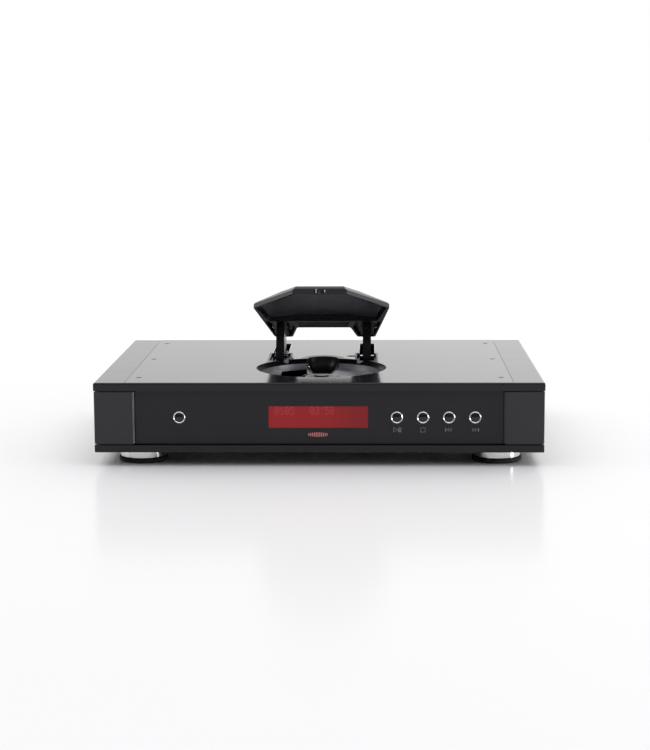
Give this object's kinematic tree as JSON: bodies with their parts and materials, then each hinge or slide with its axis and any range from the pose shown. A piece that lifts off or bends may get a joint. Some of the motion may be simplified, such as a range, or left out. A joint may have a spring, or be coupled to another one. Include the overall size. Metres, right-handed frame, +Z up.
{
  "type": "cd player",
  "caption": "Top-loading disc player: flat dark case with a recessed front, lit red display, round buttons, disc well and a faceted hinged lid on curved arms.",
  "frame": {"origin": "middle of the bounding box's underside, on the table under the feet", "axes": "+X to the right as seen from the front, +Y towards the back, +Z up; the lid is open at rest"},
  "size_m": [0.4346, 0.32, 0.1694],
  "materials": {
    "black_anodised": "satin black anodised",
    "top_satin": "brushed satin dark grey, reflective",
    "front_black": "smooth semi-gloss black",
    "base_black": "fine satin black paint",
    "window_red": "clear deep red, lit from behind",
    "display_dark": "dark, lit red dots",
    "ring_bright": "polished",
    "button_black": "glossy domed",
    "board_green": "solder mask",
    "part_black": "moulded",
    "cap_sleeve": "printed sleeve with bare top",
    "sink_black": "black anodised fins",
    "winding": "wound wire under clear tape",
    "zinc_steel": "zinc plated",
    "screw_dark": "dark plated",
    "shaft_steel": "ground",
    "rubber_black": "matt",
    "ring_black": "satin moulded black",
    "dish_grey": "satin grey metallic",
    "scoop_black": "smooth glossy black with a light edge",
    "hub_black": "satin black",
    "hub_bright": "polished turned",
    "ball_chrome": "polished",
    "lens_glass": "clear",
    "lid_black": "satin black anodised",
    "liner_grey": "satin dark grey",
    "insert_black": "matt black",
    "arm_black": "satin black",
    "foot_bright": "polished turned",
    "socket_gold": "gold plated"
  },
  "bodies": {
    "case": {"top_frame": "black_anodised", "top_panel": "top_satin", "side_left": "black_anodised", "side_right": "black_anodised", "base_tray": "base_black", "front_panel": "front_black", "display_window": "window_red", "display_module": "display_dark", "button_rings": "ring_bright", "button_board": "board_green", "tact_switches": "part_black", "power_switch": "part_black", "rear_panel": "base_black", "rca_sockets": "socket_gold", "optical_socket": "part_black", "mains_inlet": "part_black", "inlet_pins": "zinc_steel", "main_board": "board_green", "board_chips": "part_black", "power_capacitors": "cap_sleeve", "signal_capacitors": "cap_sleeve", "heat_sink": "sink_black", "transformer": "winding", "transformer_clamp": "zinc_steel", "transport_chassis": "zinc_steel", "grommets": "rubber_black", "screws": "screw_dark", "spindle_motor": "zinc_steel", "guide_rods": "shaft_steel", "sled_motor": "zinc_steel", "well_ring": "ring_black", "disc_dish": "dish_grey", "finger_scoop": "scoop_black", "hinge_brackets": "zinc_steel", "foot_ring_front_left": "foot_bright", "foot_pad_front_left": "rubber_black", "foot_ring_front_right": "foot_bright", "foot_pad_front_right": "rubber_black", "foot_ring_rear_left": "foot_bright", "foot_pad_rear_left": "rubber_black", "foot_ring_rear_right": "foot_bright", "foot_pad_rear_right": "rubber_black"},
    "lid": {"lid_shell": "lid_black", "lid_liner": "liner_grey", "lid_insert": "insert_black", "lid_arm_left": "arm_black", "lid_arm_right": "arm_black", "hinge_shaft": "shaft_steel"},
    "power_button": {"power_button": "button_black"},
    "play_button": {"play_button": "button_black"},
    "stop_button": {"stop_button": "button_black"},
    "previous_button": {"previous_button": "button_black"},
    "next_button": {"next_button": "button_black"},
    "spindle": {"spindle_shaft": "shaft_steel", "disc_hub": "hub_black", "hub_ring": "hub_bright", "chuck_balls": "ball_chrome"},
    "sled": {"laser_sled": "sink_black", "laser_lens": "lens_glass"},
    "lead_screw": {"lead_screw": "shaft_steel"}
  },
  "joints": [
    {"name": "lid_hinge", "type": "hinge", "parent": "case", "child": "lid", "pos_m": [0, 0.1235, 0.067], "axis": [1, 0, 0], "range_deg": [0, 18.7]},
    {"name": "power_button_press", "type": "slide", "parent": "case", "child": "power_button", "axis": [0, 1, 0], "range_m": [0, 0.0008], "stiffness_N_per_m": 1900, "springref_m": -0.0004},
    {"name": "play_button_press", "type": "slide", "parent": "case", "child": "play_button", "axis": [0, 1, 0], "range_m": [0, 0.0008], "stiffness_N_per_m": 1900, "springref_m": -0.0004},
    {"name": "stop_button_press", "type": "slide", "parent": "case", "child": "stop_button", "axis": [0, 1, 0], "range_m": [0, 0.0008], "stiffness_N_per_m": 1900, "springref_m": -0.0004},
    {"name": "previous_button_press", "type": "slide", "parent": "case", "child": "previous_button", "axis": [0, 1, 0], "range_m": [0, 0.0008], "stiffness_N_per_m": 1900, "springref_m": -0.0004},
    {"name": "next_button_press", "type": "slide", "parent": "case", "child": "next_button", "axis": [0, 1, 0], "range_m": [0, 0.0008], "stiffness_N_per_m": 1900, "springref_m": -0.0004},
    {"name": "spindle_turn", "type": "hinge", "parent": "case", "child": "spindle", "pos_m": [0, -0.0586, 0.06], "axis": [0, 0, 1], "continuous": true},
    {"name": "sled_travel", "type": "slide", "parent": "case", "child": "sled", "axis": [-0.682, 0.7314, 0], "range_m": [0, 0.032]},
    {"name": "lead_screw_turn", "type": "hinge", "parent": "case", "child": "lead_screw", "pos_m": [-0.03533, -0.03685, 0.0582], "axis": [-0.682, 0.7314, 0], "range_deg": [0, 3841]}
  ],
  "couplings": [
    {"joint": "lead_screw_turn", "follows": "sled_travel", "rad_per_m": 2094.4}
  ]
}
